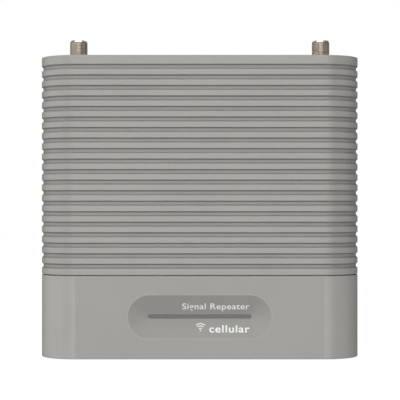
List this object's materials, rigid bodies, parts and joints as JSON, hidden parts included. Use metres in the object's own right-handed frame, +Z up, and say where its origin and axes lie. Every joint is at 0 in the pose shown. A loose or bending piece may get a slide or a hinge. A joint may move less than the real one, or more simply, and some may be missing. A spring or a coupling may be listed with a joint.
{
  "type": "cellular signal booster",
  "caption": "Flat upright cellular signal booster: ribbed grey housing on a smooth base band with a light bar, threaded coaxial ports on top, keyholes at the back.",
  "frame": {"origin": "bottom centre of the object, on the surface that its feet stand on", "axes": "+Z up, +X to the right seen from the front, and the front with the light bar faces -Y"},
  "size_m": [0.171, 0.04, 0.1711],
  "materials": {
    "housing_paint": "die-cast, with fine matt warm grey paint",
    "base_plastic": "fine matt warm grey, matched to the housing",
    "light_diffuser": "smoked translucent plastic, satin",
    "port_nickel": "nickel-plated brass, bright turned",
    "contact_gold": "gold-plated contact",
    "insulator": "off-white insulating plastic",
    "screw_steel": "zinc-plated steel",
    "foot_rubber": "matt black rubber",
    "rear_label_stock": "satin printed film",
    "jack_plastic": "black moulded plastic",
    "board_green": "green solder mask",
    "board_white": "white solder mask",
    "can_tinplate": "bright tinplate",
    "spreader_aluminium": "bare die-cast aluminium",
    "chip_black": "black moulded package",
    "filter_ceramic": "plain ceramic block",
    "inductor_ferrite": "dark grey ferrite",
    "pad_silicone": "soft blue-grey gap pad",
    "led_package": "clear and phosphor package",
    "cable_film": "white polyester film"
  },
  "bodies": {
    "root": {"base_housing": "base_plastic", "base_screw_front_left": "screw_steel", "base_screw_front_right": "screw_steel", "base_screw_rear_left": "screw_steel", "base_screw_rear_right": "screw_steel", "board_screw_lower_left": "screw_steel", "board_screw_lower_right": "screw_steel", "board_screw_upper_left": "screw_steel", "board_screw_upper_right": "screw_steel", "control_shield_can": "can_tinplate", "controller_chip": "chip_black", "foot_front_left": "foot_rubber", "foot_front_right": "foot_rubber", "foot_rear_left": "foot_rubber", "foot_rear_right": "foot_rubber", "heat_spreader": "spreader_aluminium", "indoor_amplifier": "chip_black", "indoor_duplexer": "filter_ceramic", "indoor_port_barrel": "port_nickel", "indoor_port_contact": "contact_gold", "indoor_port_insulator": "insulator", "indoor_shield_can": "can_tinplate", "indoor_thermal_pad": "pad_silicone", "led_1": "led_package", "led_2": "led_package", "led_3": "led_package", "led_4": "led_package", "led_board": "board_white", "led_board_connector": "insulator", "led_board_screw_left": "screw_steel", "led_board_screw_right": "screw_steel", "led_flat_cable": "cable_film", "light_bar": "light_diffuser", "main_board": "board_green", "main_board_connector": "insulator", "outdoor_amplifier": "chip_black", "outdoor_duplexer": "filter_ceramic", "outdoor_port_barrel": "port_nickel", "outdoor_port_contact": "contact_gold", "outdoor_port_insulator": "insulator", "outdoor_shield_can": "can_tinplate", "outdoor_thermal_pad": "pad_silicone", "power_jack_body": "jack_plastic", "power_jack_pin": "port_nickel", "power_jack_spring": "port_nickel", "rear_label": "rear_label_stock", "rear_plate": "housing_paint", "rear_screw_lower_left": "screw_steel", "rear_screw_lower_right": "screw_steel", "rear_screw_upper_left": "screw_steel", "rear_screw_upper_right": "screw_steel", "ribbed_housing": "housing_paint", "supply_capacitor": "chip_black", "supply_inductor": "inductor_ferrite"}
  },
  "joints": []
}
